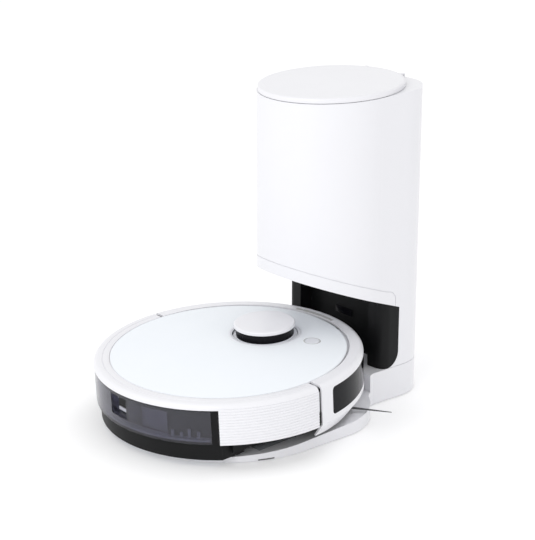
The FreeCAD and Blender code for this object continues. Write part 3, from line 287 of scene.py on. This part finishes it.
finishes = {
    "white_plastic": dict(colour=(0.77, 0.77, 0.80), shade=(0.755, 0.755, 0.785), gloss=(0.28, 0.34),
                          grain=(2600, 0.008), shader={"Coat Weight": 0.15, "Coat Roughness": 0.25}),
    "cover_white": dict(colour=(0.82, 0.85, 0.885), shade=(0.80, 0.835, 0.875), gloss=(0.5, 0.6),
                        grain=(3400, 0.06)),
    "light_grey_plastic": dict(colour=(0.74, 0.75, 0.79), shade=(0.70, 0.71, 0.76),
                               gloss=(0.32, 0.42), grain=(2600, 0.08)),
    "grey_plastic": dict(colour=(0.42, 0.43, 0.46), shade=(0.36, 0.37, 0.4), gloss=(0.4, 0.52),
                         grain=(2200, 0.15)),
    "charcoal_plastic": dict(colour=(0.0075, 0.0078, 0.0085), shade=(0.0052, 0.0054, 0.006),
                             gloss=(0.42, 0.55),
                             grain=(2400, 0.12), shader={"Specular IOR Level": 0.16}),
    "black_plastic": dict(colour=(0.0045, 0.0045, 0.005), shade=(0.003, 0.003, 0.0036),
                          gloss=(0.42, 0.55), grain=(2400, 0.12),
                          shader={"Specular IOR Level": 0.18}),
    "gloss_black": dict(colour=(0.008, 0.008, 0.010), shade=(0.005, 0.005, 0.007), gloss=(0.06, 0.1),
                        grain=(900, 0.01),
                        shader={"Specular IOR Level": 0.1}),
    "smoked_tank": dict(colour=(0.40, 0.40, 0.47), shade=(0.30, 0.30, 0.37), gloss=(0.12, 0.2),
                        grain=(500, 0.03),
                        shader={"Transmission Weight": 0.93, "IOR": 1.40}),
    "smoked_clear": dict(colour=(0.62, 0.63, 0.66), shade=(0.5, 0.51, 0.55), gloss=(0.12, 0.2),
                         grain=(500, 0.04),
                         shader={"Transmission Weight": 0.8, "IOR": 1.42}),
    "dark_rubber": dict(colour=(0.022, 0.022, 0.022), shade=(0.034, 0.034, 0.034),
                        gloss=(0.62, 0.78), grain=(1300, 0.3)),
    "grey_rubber": dict(colour=(0.33, 0.34, 0.37), shade=(0.26, 0.27, 0.30), gloss=(0.6, 0.75),
                        grain=(1300, 0.25)),
    "tread_rubber": dict(colour=(0.040, 0.040, 0.044), shade=(0.055, 0.055, 0.058),
                         gloss=(0.68, 0.85), grain=(1100, 0.4)),
    "brush_rubber": dict(colour=(0.040, 0.047, 0.065), shade=(0.028, 0.033, 0.05), gloss=(0.5, 0.66),
                         grain=(1300, 0.25)),
    "bristle_grey": dict(colour=(0.085, 0.085, 0.092), shade=(0.05, 0.05, 0.056), gloss=(0.4, 0.55),
                         grain=(1800, 0.15)),
    "bag_paper": dict(kind="woven", colour=(0.80, 0.80, 0.78), shade=(0.66, 0.66, 0.63), thread=(520, 0.35)),
    "filter_paper": dict(kind="woven", colour=(0.86, 0.87, 0.87), shade=(0.7, 0.71, 0.71),
                         thread=(900, 0.25)),
    "mop_cloth": dict(kind="woven", colour=(0.52, 0.57, 0.66), shade=(0.36, 0.41, 0.50), thread=(430, 0.8)),
    "motor_metal": dict(kind="drawn", colour=(0.56, 0.56, 0.57), shade=(0.45, 0.45, 0.46), line=(900, 0.15)),
    "screw_steel": dict(kind="drawn", colour=(0.62, 0.62, 0.62), shade=(0.5, 0.5, 0.51), line=(1500, 0.15)),
    "contact_brass": dict(kind="drawn", colour=(0.80, 0.66, 0.36), shade=(0.68, 0.53, 0.26),
                          line=(1200, 0.1)),
    "board_green": dict(colour=(0.02, 0.14, 0.065), shade=(0.015, 0.1, 0.045), gloss=(0.25, 0.4),
                        grain=(700, 0.25)),
    "battery_wrap": dict(colour=(0.035, 0.075, 0.24), shade=(0.025, 0.055, 0.18), gloss=(0.18, 0.3),
                         grain=(300, 0.12)),
    # for detail pieces
    "tankGhost": dict(colour=(0.66, 0.66, 0.72), shade=(0.5, 0.5, 0.56), gloss=(0.3, 0.45), grain=(300, 0.1)),
    "tankPale": dict(colour=(0.78, 0.79, 0.85), shade=(0.6, 0.61, 0.68), gloss=(0.3, 0.45), grain=(300, 0.1)),
    "slotGrey": dict(colour=(0.12, 0.12, 0.12), shade=(0.09, 0.09, 0.09), gloss=(0.4, 0.5),
                     grain=(1500, 0.1)),
    "ventGrey": dict(colour=(0.50, 0.50, 0.49), shade=(0.40, 0.40, 0.39), gloss=(0.4, 0.5),
                     grain=(1500, 0.1)),
}


def makeFinish(name, kind="moulded", colour=(1, 1, 1), shade=(1, 1, 1), gloss=None, grain=None,
               thread=None, line=None, shader=None):
    material = bpy.data.materials.new(name)
    material.use_nodes = True
    tree = material.node_tree
    surface = tree.nodes["Principled BSDF"]
    spot = addNode(tree, "TexCoord")
    effect = tree.nodes.new("ShaderNodeGroup")
    effect.node_tree = groups[kind]
    effect.inputs["Colour"].default_value = (*colour, 1)
    effect.inputs["Shade"].default_value = (*shade, 1)
    if gloss:
        effect.inputs["Gloss Low"].default_value, effect.inputs["Gloss High"].default_value = gloss
        effect.inputs["Grain Size"].default_value, effect.inputs["Grain Depth"].default_value = grain
    if thread:
        effect.inputs["Thread Size"].default_value, effect.inputs["Depth"].default_value = thread
        surface.inputs["Sheen Weight"].default_value = 0.35
    if line:
        effect.inputs["Line Size"].default_value, effect.inputs["Depth"].default_value = line
        surface.inputs["Metallic"].default_value = 1.0
    for key, value in (shader or {}).items():
        surface.inputs[key].default_value = value
    join(tree, (spot.outputs["Object"], effect.inputs["Place"]),
         (effect.outputs["Colour"], surface.inputs["Base Color"]),
         (effect.outputs["Roughness"], surface.inputs["Roughness"]),
         (effect.outputs["Normal"], surface.inputs["Normal"]))
    return material


finish = {name: makeFinish(name, **settings) for name, settings in finishes.items()}
slotOf = {row["node"]: row["material_slot"] for row in frame["record"]["subparts"]}
for name, node in nodes.items():
    node.data.materials.clear()
    node.data.materials.append(finish[slotOf[name]])
print("finishes made,", len(finish))

# robot: white wall behind the bumper, ribbed on both sides

shellShape = dict(radius=176.5, wall=3.0, bottom=25.5, sideTop=73.0, rimRound=6.4,
                  lipInner=155.6, lipThick=2.8, groove=164.5, grooveHalf=0.75,
                  tankSide=131.2, tankTop=71.75, shellEnd=90.97,
                  ribPitch=3.72, ribDepth=0.75, ribFirst=28.4, ribCount=13)


def shellOutline(bottom, ribbed):
    # The wall in section: up the side, over the rim, in along the lip and back down the inside. The line
    # between two ribs is a narrow dip square to the surface: half of one plus the cosine of travel over
    # pitch, to the fifth power.
    s = shellShape
    reach = s["radius"] - s["rimRound"]
    side = np.linspace(bottom + 0.4, s["sideTop"], 120 if ribbed else 12)
    straight = np.stack([np.full(len(side), s["radius"]), side], -1)
    bend = arc((reach, s["sideTop"]), s["rimRound"], 0, 90, 22)[1:]
    outer = np.concatenate([straight, bend])
    if ribbed:
        square = np.concatenate([np.tile([1.0, 0.0], (len(straight), 1)),
                                 (bend - (reach, s["sideTop"])) / s["rimRound"]])
        steps = np.linalg.norm(np.diff(outer, axis=0), axis=1)
        travel = np.concatenate([[0], np.cumsum(steps)]) + bottom + 0.4
        phase = (travel - s["ribFirst"]) / s["ribPitch"]
        dip = (0.5 + 0.5 * np.cos(2 * math.pi * phase)) ** 5 * (phase > -0.5) * (phase < s["ribCount"] - 0.5)
        outer = outer - square * dip[:, None] * s["ribDepth"]
    top = s["sideTop"] + s["rimRound"]
    groove, lipEdge = s["groove"], s["lipInner"]
    lip = np.array([(groove + s["grooveHalf"], top), (groove + 0.25, top - 0.75), (groove - 0.25, top - 0.75),
                    (groove - s["grooveHalf"], top), (lipEdge + 0.6, top), (lipEdge + 0.15, top - 0.2),
                    (lipEdge, top - 0.7), (lipEdge, top - s["lipThick"]), (reach, top - s["lipThick"])])
    inside = arc((reach, s["sideTop"]), s["rimRound"] - s["wall"], 90, 0, 8)
    foot = np.array([(s["radius"] - s["wall"], bottom), (s["radius"] - 0.4, bottom)])
    return np.concatenate([outer, lip, inside, foot])


tankAngle = math.degrees(math.asin(shellShape["tankSide"] / shellShape["radius"]))
ribSection = shellOutline(shellShape["bottom"], True)
plainSection = shellOutline(shellShape["tankTop"], False)
sideTurn = np.linspace(tankAngle, shellShape["shellEnd"], 60)
makePiece("ribbedShell", [
    (turnedRun(ribSection, sideTurn), False), (turnedRun(ribSection, -sideTurn), False),
    (turnedRun(plainSection, np.linspace(-tankAngle, tankAngle, 120)), False)],
    inRobot, "robot", finish["white_plastic"], ("rear_body_shell",))

# robot: what fills the gap between wall and bumper, a pale strip with a black block at its foot
gapStrip = dict(first=90.8, last=91.88, low=26.0, high=72.0, inner=172.4, outer=174.2)
gapBlock = dict(first=91.02, last=91.92, low=27.0, high=44.5, inner=172.8, outer=176.0)
for name, spec, look in (("gapStrips", gapStrip, "white_plastic"), ("gapBlocks", gapBlock, "black_plastic")):
    section = np.array([(spec["inner"], spec["low"]), (spec["outer"], spec["low"]),
                        (spec["outer"], spec["high"]), (spec["inner"], spec["high"])])
    makePiece(name, [(turnedRun(section, side * np.linspace(spec["first"], spec["last"], 4)), False)
                     for side in (-1, 1)], inRobot, "robot", finish[look])

# robot: segmented grille on the rim, rings round the turret and the button

grille = dict(inner=160.2, outer=165.4, low=79.1, high=79.75, first=-17.0, last=8.0, count=6, gap=0.45)
step = (grille["last"] - grille["first"]) / grille["count"]
tile = np.array([(grille["inner"], grille["low"]), (grille["outer"], grille["low"]),
                 (grille["outer"], grille["high"] - 0.2), (grille["outer"] - 0.2, grille["high"]),
                 (grille["inner"] + 0.2, grille["high"]), (grille["inner"], grille["high"] - 0.2)])
tileStarts = [grille["first"] + step * k for k in range(grille["count"])]
makePiece("rimGrille", [(turnedRun(tile, 180 - np.linspace(start + grille["gap"], start + step, 8)), False)
                        for start in tileStarts], inRobot, "bumper", finish["ventGrey"])

coverShape = dict(radius=154.5, edge=79.2, crown=85.2)
bend = (coverShape["radius"] ** 2 + (coverShape["crown"] - coverShape["edge"]) ** 2) / (
    2 * (coverShape["crown"] - coverShape["edge"]))


def coverHeight(x, y):  # a shallow ball: its top less the drop of a sphere of the cover's bend
    return coverShape["crown"] - bend + np.sqrt(bend ** 2 - x ** 2 - y ** 2)


def coverRing(centre, inner, outer, lift, sink=0.6, turns=96):
    # A raised band that follows the cover: half a sine across, carried round a circle, lifted by the crown.
    across = np.linspace(0, 1, 9)
    reach = np.concatenate([inner + (outer - inner) * across, [outer, inner]])
    rise = np.concatenate([lift * np.sin(math.pi * across), [-sink, -sink]])
    turn = np.linspace(0, 2 * math.pi, turns, endpoint=False)[:, None]
    x, y = centre[0] + reach * np.cos(turn), centre[1] + reach * np.sin(turn)
    return np.stack([x, y, coverHeight(x, y) + rise], -1), True


turretSpot, buttonSpot = (0.0, 62.0), (63.0, 90.5)
sealSection = np.array([(154.0, 77.3), (155.3, 77.3), (155.3, 78.6), (154.0, 78.6)])
makePiece("coverSeal", [(turnedRun(sealSection, np.linspace(-148, 148, 160)), False)], inRobot, "top_cover",
          finish["white_plastic"])
makePiece("turretRing", [coverRing(turretSpot, 44.6, 48.6, 0.45)], inRobot, "top_cover",
          finish["light_grey_plastic"])
makePiece("buttonRing", [coverRing(buttonSpot, 10.1, 11.3, 0.25)], inRobot, "top_cover",
          finish["ventGrey"])
print("robot top made")

# robot: what shows through the smoked tank


def tankBand(radius, thick, low, high, first, last, steps=40):
    section = np.array([(radius - thick, low), (radius, low), (radius, high), (radius - thick, high)])
    return turnedRun(section, np.linspace(first, last, steps)), False


darkEnds = [tankBand(176.2, 1.2, 26.6, 70.9, side * 44.9, side * 47.7, 8) for side in (-1, 1)]
darkRoof = tankBand(173.2, 4.0, 65.6, 68.4, -44.2, 44.2)
darkInsert = tankBand(167.0, 2.0, 32.0, 64.0, 25.0, 44.0, 20)
makePiece("tankDarkEnds", darkEnds + [darkRoof, darkInsert], inRobot, "water_tank",
          finish["black_plastic"])
baffles = [tankBand(158.0, 2.0, 29.2, 64.0, -43.5, -8.5), tankBand(158.0, 2.0, 29.2, 64.0, 8.5, 25.0, 20)]
makePiece("tankBaffle", baffles, inRobot, "water_tank", finish["tankGhost"])
makePiece("tankSill", [tankBand(173.0, 9.0, 29.0, 31.6, -44.0, 44.0, 70)], inRobot, "water_tank",
          finish["tankPale"])

post = dict(radius=168.0, wide=4.0, corner=1.9, floor=31.0,
            spots=((27.5, 9.0), (31.5, 7.0), (35.0, 12.0), (39.0, 9.0),
                   (-27.5, 9.0), (-33.0, 11.0), (-39.0, 8.0)))
posts = []
for angle, tall in post["spots"]:  # degrees round the tank, and height
    spot = (post["radius"] * math.sin(math.radians(angle)), -post["radius"] * math.cos(math.radians(angle)))
    outline = roundedBox(post["wide"], post["wide"], post["corner"])
    posts.append((slab(outline, post["floor"], post["floor"] + tall, 0.8, spot), False))
makePiece("tankPosts", posts, inRobot, "water_tank", finish["tankPale"])
latchHook = slab(roundedBox(6.4, 2.6, 0.8), 57.0, 63.4, 0.6, (-11.6, -164.4))
latchLedge = slab(roundedBox(31.0, 2.0, 0.6), 41.0, 45.5, 0.5, (0.0, -164.1))
makePiece("latchSeat", [(latchHook, False), (latchLedge, False)], inRobot, "water_tank",
          finish["tankPale"])
print("tank inside made")

# robot: side brushes, three tufts of bristles each

tuft = dict(reach=67.4, root=20.0, strands=22, spread=4.6, thick=0.36, height=7.1, tip=0.55, hub=10.0)
rng = np.random.default_rng(7)


def brushParts(centre, headings):
    # Each tuft is a tapered holder and strands that start side by side and draw together towards the tip.
    # They fall in a straight line from the hub's top almost to the wheel plane.
    hub = slab(lambda inset: arc((0, 0), tuft["hub"] - inset, 0, 352.5, 48), 2.7, 8.1, 0.9, centre)
    screwHead = slab(lambda inset: arc((0, 0), 4.2 - inset, 0, 345, 24), 2.65, 2.9, 0.1, centre)
    shells = [(hub, False), (screwHead, False)]
    for heading in headings:
        turn = math.radians(heading)
        outward = np.array([math.cos(turn), math.sin(turn), 0.0])
        sideways = np.array([-math.sin(turn), math.cos(turn), 0.0])
        base = np.array([centre[0], centre[1], tuft["height"]])
        fall = np.array([0, 0, (tuft["tip"] - tuft["height"]) / tuft["reach"]])
        holder = base + (outward + fall) * np.linspace(4, tuft["root"] + 6, 9)[:, None]
        shells.append((tube(holder, np.linspace(1.05, 0.95, 9), 10), False))
        across = np.linspace(-1, 1, tuft["strands"])
        for k in range(tuft["strands"]):
            travel = np.linspace(0, 1, 8)
            width = tuft["spread"] * (0.62 - 0.46 * travel) * across[k] + rng.normal(0, 0.12) * travel
            reach = tuft["root"] - 14 + (tuft["reach"] - tuft["root"] + 14 - abs(rng.normal(0, 1.2))) * travel
            lift = rng.normal(0, 0.3) * (1 - travel)
            path = (base + (outward + fall) * reach[:, None] + sideways * width[:, None]
                    + np.array([0, 0, 1.0]) * lift[:, None])
            shells.append((tube(path, tuft["thick"] * (1 - 0.45 * travel), 5), False))
    return shells


for side, word in ((-1, "left"), (1, "right")):
    headings = [heading if side > 0 else 180 - heading for heading in (42, 162, 282)]
    makePiece(word + "BrushTufts", brushParts((side * 118.0, 88.0), headings), inRobot, word + "_side_brush",
              finish["bristle_grey"], (word + "_side_brush",))
print("side brushes made")

# robot: mop cloth, pleated filter

cloth = dict(radius=164.6, half=115.7, back=-88.4, low=0.6, high=3.15)
clothShell = slab(discPart(cloth["radius"], cloth["half"], cloth["back"]), cloth["low"], cloth["high"], 0.9)
mopCloth = makePiece("mopCloth", [(clothShell, False)], inRobot, "mop", finish["mop_cloth"],
                     ("mop_pad",))

pleats = dict(half=33.6, back=-66.3, front=-54.7, low=43.2, high=66.8, folds=26, frame=2.0)
foldTurn = np.linspace(-1, 1, pleats["folds"] * 2 + 1)
zigzag = np.where(np.arange(len(foldTurn)) % 2 == 0, 0.0, 1.0)
reach = pleats["half"] - pleats["frame"]
front = pleats["front"] - 1.0 - zigzag * 4.0
back = pleats["back"] + 1.0 + (1 - zigzag) * 1.2
pleatLoop = np.concatenate([np.stack([foldTurn * reach, front], -1),
                            np.stack([foldTurn[::-1] * reach, back[::-1]], -1)])
pleatRows = np.stack([np.column_stack([pleatLoop, np.full(len(pleatLoop), level)])
                      for level in np.linspace(pleats["low"] + 2, pleats["high"] - 2, 4)])
middleY = (pleats["front"] + pleats["back"]) / 2
deep = pleats["front"] - pleats["back"]
bars = [(slab(roundedBox(pleats["half"] * 2, deep, 1.0), low, low + 1.9, 0.3, (0.0, middleY)), False)
        for low in (pleats["low"], pleats["high"] - 1.9)]
bars += [(slab(roundedBox(1.9, deep, 0.6), pleats["low"] + 1.0, pleats["high"] - 1.0, 0.2,
               (side * (pleats["half"] - 0.95), middleY)), False) for side in (-1, 1)]
makePiece("pleatedFilter", [(pleatRows, False)], inRobot, "robot", finish["filter_paper"],
          ("bin_filter",), sharp=20)
makePiece("filterFrame", bars, inRobot, "robot", finish["grey_plastic"])

# station: ribbed ramp mats, dust bag, slot in the foot, window in the bay

mat = dict(side=114.5, half=18.7, long=109.4, y=-5.0, low=-1.45, high=-0.45, pitch=4.0, rib=0.3)
matRows = []
for side in (-1, 1):
    along = np.linspace(-mat["long"] / 2, mat["long"] / 2, 220)
    height = mat["high"] - mat["rib"] * (0.5 + 0.5 * np.cos(2 * math.pi * along / mat["pitch"])) ** 3
    across = np.array([-1.0, -0.97, 0.97, 1.0, 1.0, -1.0]) * mat["half"]
    top = np.stack([height - 0.25, height, height, height - 0.25], 1)
    under = np.full((len(along), 2), mat["low"])
    matX = side * mat["side"] + across + 0 * along[:, None]
    matY = mat["y"] + along[:, None] + 0 * across
    matRows.append((np.stack([matX, matY, np.concatenate([top, under], 1)], -1), False))
makePiece("rampRibs", matRows, inRobot, "station", finish["grey_rubber"], ("ramp_mats",),
          sharp=60)

irWindow = slab(roundedBox(34.0, 1.2, 0.5), 96.0, 106.0, 0.3, (0.0, 202.2))
makePiece("bayWindow", [(irWindow, False)], inStation, "station", finish["gloss_black"])
footSlot = dict(inner=153.1, outer=153.62, low=1.5, high=3.2, first=65.5, last=73.5)
slotBand = np.array([(footSlot["inner"], footSlot["low"]), (footSlot["outer"], footSlot["low"]),
                     (footSlot["outer"], footSlot["high"]), (footSlot["inner"], footSlot["high"])])
makePiece("footSlot", [(turnedRun(slotBand, np.linspace(footSlot["first"], footSlot["last"], 8)), False)],
          inStation, "station", finish["slotGrey"])

bag = dict(radius=73.2, y=164.0, low=222.6, high=371.2, folds=9)


def bagShape():
    # A paper bag: radius falls off at both ends as the fourth root of one less height to the fifth power.
    # Long folds deepen towards the top and bottom, and no point is outside the round body.
    level = np.sin(np.linspace(-math.pi / 2, math.pi / 2, 60))[:, None]
    turn = np.linspace(0, 2 * math.pi, 180, endpoint=False)[None, :]
    body = np.maximum(1 - np.abs(level) ** 5, 0.0004) ** 0.25
    folds = 0.5 + 0.5 * np.cos(bag["folds"] * turn + 1.3 * np.sin(2.2 * level + turn))
    creases = 0.5 + 0.5 * np.sin(23 * turn + 9 * level) * np.cos(5 * level - 3 * turn)
    radius = bag["radius"] * body * (1 - 0.055 * folds * (0.35 + np.abs(level)) - 0.012 * creases)
    height = (bag["low"] + bag["high"]) / 2 + level * (bag["high"] - bag["low"]) / 2 + 0 * turn
    return np.stack([radius * np.cos(turn), bag["y"] + radius * np.sin(turn), height], -1)


dustBag = makePiece("dustBagBody", [(bagShape(), False)], inStation, "station", finish["bag_paper"],
                    ("dust_bag",), sharp=60)
print("soft pieces made")

# floor, light and camera

floorMesh = bpy.data.meshes.new("floor")
floorMesh.from_pydata([(-6, -6, 0), (6, -6, 0), (6, 6, 0), (-6, 6, 0)], [], [(0, 1, 2, 3)])
floor = bpy.data.objects.new("floor", floorMesh)
bpy.context.scene.collection.objects.link(floor)
floorFinish = bpy.data.materials.new("paleFloor")
floorFinish.use_nodes = True
paleFloor = {"Base Color": (0.90, 0.90, 0.905, 1), "Roughness": 0.9, "Specular IOR Level": 0.1,
             "Emission Color": (1.0, 1.0, 1.0, 1), "Emission Strength": 0.14}
for key, value in paleFloor.items():
    floorFinish.node_tree.nodes["Principled BSDF"].inputs[key].default_value = value
floorMesh.materials.append(floorFinish)

world = bpy.data.worlds.new("studio")
world.use_nodes = True
world.node_tree.nodes["Background"].inputs["Color"].default_value = (1.0, 1.0, 1.0, 1)
world.node_tree.nodes["Background"].inputs["Strength"].default_value = 1.0
bpy.context.scene.world = world
bpy.context.scene.view_settings.view_transform = "Standard"

lights = {
    "keyLight": dict(place=(0.55, -1.95, 1.3), size=1.4, power=13.0, colour=(1.0, 1.0, 1.0)),
    "topLight": dict(place=(0.1, -0.2, 2.0), size=1.6, power=0.8, colour=(1.0, 1.0, 1.0)),
}
target = Vector((0.0, 0.0, 0.16))
for name, spec in lights.items():
    data = bpy.data.lights.new(name, "AREA")
    data.shape = "SQUARE"
    data.size = spec["size"]
    data.energy = spec["power"]
    data.color = spec["colour"]
    lamp = bpy.data.objects.new(name, data)
    lamp.location = spec["place"]
    lamp.rotation_euler = (target - lamp.location).to_track_quat("-Z", "Y").to_euler()
    bpy.context.scene.collection.objects.link(lamp)

view = dict(place=(1.4975, -1.2072, 0.8145), turn=(72.04, 0.0, 50.75), lens=103.03)
cameraData = bpy.data.cameras.new("camera")
cameraData.lens = view["lens"]
cameraData.sensor_width = 36.0
camera = bpy.data.objects.new("camera", cameraData)
camera.location = view["place"]
camera.rotation_euler = [math.radians(angle) for angle in view["turn"]]
bpy.context.scene.collection.objects.link(camera)
bpy.context.scene.camera = camera
print("stage set")
